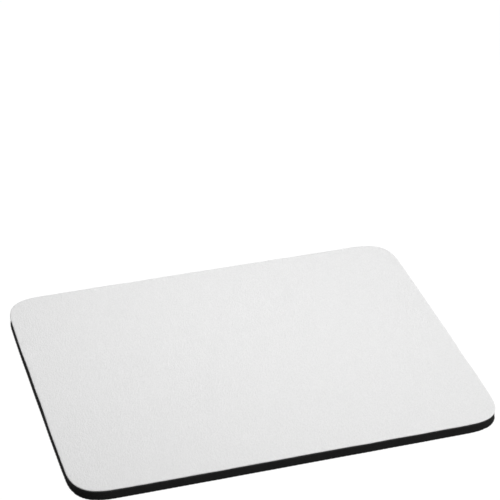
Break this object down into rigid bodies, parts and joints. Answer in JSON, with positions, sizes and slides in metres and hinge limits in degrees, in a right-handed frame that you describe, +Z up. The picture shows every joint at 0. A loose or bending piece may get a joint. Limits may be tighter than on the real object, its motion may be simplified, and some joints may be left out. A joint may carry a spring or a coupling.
{
  "type": "mouse pad",
  "caption": "Flat rectangular mouse pad with rounded corners: a white cloth face bonded to a black foam-rubber base with a grooved non-slip underside.",
  "frame": {"origin": "centre of the underside, on the desk", "axes": "+X along the long side towards the right, +Y from the front edge to the back edge, +Z up from the desk to the cloth"},
  "size_m": [0.24, 0.19, 0.006],
  "materials": {
    "white_cloth": "fine white polyester knit with a brushed, fully matt face",
    "hot_melt_film": "dull smoky hot-melt film, seen only as a hairline in the cut edge",
    "black_foam_rubber": "matt black fine-celled foam rubber, open pores in the cut edge, moulded skin below"
  },
  "bodies": {
    "root": {"cloth_face": "white_cloth", "bond_film": "hot_melt_film", "foam_base": "black_foam_rubber"}
  },
  "joints": []
}
